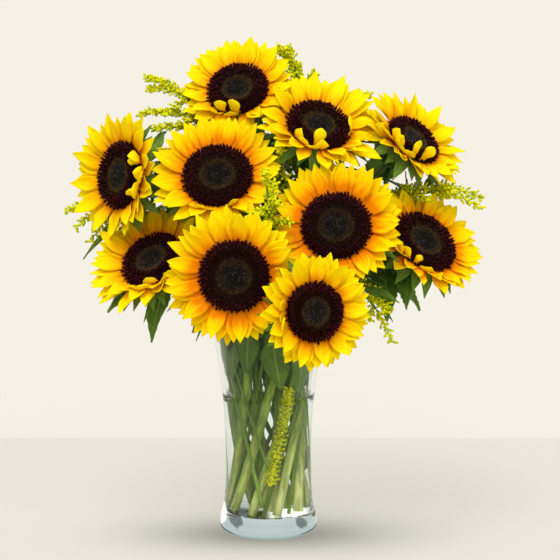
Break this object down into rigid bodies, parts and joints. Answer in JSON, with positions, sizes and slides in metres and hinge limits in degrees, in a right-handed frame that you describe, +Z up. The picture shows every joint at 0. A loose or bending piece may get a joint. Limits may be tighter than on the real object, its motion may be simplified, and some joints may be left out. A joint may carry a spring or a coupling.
{
  "type": "sunflowers in a vase",
  "caption": "Cut sunflowers with leaves and sprays of goldenrod, standing in a flared clear glass vase of water",
  "frame": {"origin": "the middle of the flat foot of the vase, where it stands", "axes": "+Z up along the vase; -Y the side that most of the flowers face; +X to the right seen from there"},
  "size_m": [0.4097, 0.2739, 0.4844],
  "materials": {
    "glass": "clear, smooth",
    "water": "clear, still",
    "petals": "satin, yellow",
    "disc": "rough, dark brown",
    "green": "matt, green",
    "goldenrod": "matt, yellow-green"
  },
  "bodies": {
    "root": {"vase": "glass", "water": "water", "sunflower_01_petals": "petals", "sunflower_01_disc": "disc", "sunflower_01_stem": "green", "sunflower_02_petals": "petals", "sunflower_02_disc": "disc", "sunflower_02_stem": "green", "sunflower_03_petals": "petals", "sunflower_03_disc": "disc", "sunflower_03_stem": "green", "sunflower_04_petals": "petals", "sunflower_04_disc": "disc", "sunflower_04_stem": "green", "sunflower_05_petals": "petals", "sunflower_05_disc": "disc", "sunflower_05_stem": "green", "sunflower_06_petals": "petals", "sunflower_06_disc": "disc", "sunflower_06_stem": "green", "sunflower_07_petals": "petals", "sunflower_07_disc": "disc", "sunflower_07_stem": "green", "sunflower_08_petals": "petals", "sunflower_08_disc": "disc", "sunflower_08_stem": "green", "sunflower_09_petals": "petals", "sunflower_09_disc": "disc", "sunflower_09_stem": "green", "sunflower_10_petals": "petals", "sunflower_10_disc": "disc", "sunflower_10_stem": "green", "goldenrod_top": "goldenrod", "goldenrod_upper_left": "goldenrod", "goldenrod_lower_left": "goldenrod", "goldenrod_middle": "goldenrod", "goldenrod_right": "goldenrod", "goldenrod_lower_right": "goldenrod", "goldenrod_upper_right": "goldenrod", "goldenrod_back": "goldenrod", "goldenrod_inside": "goldenrod"}
  },
  "joints": []
}
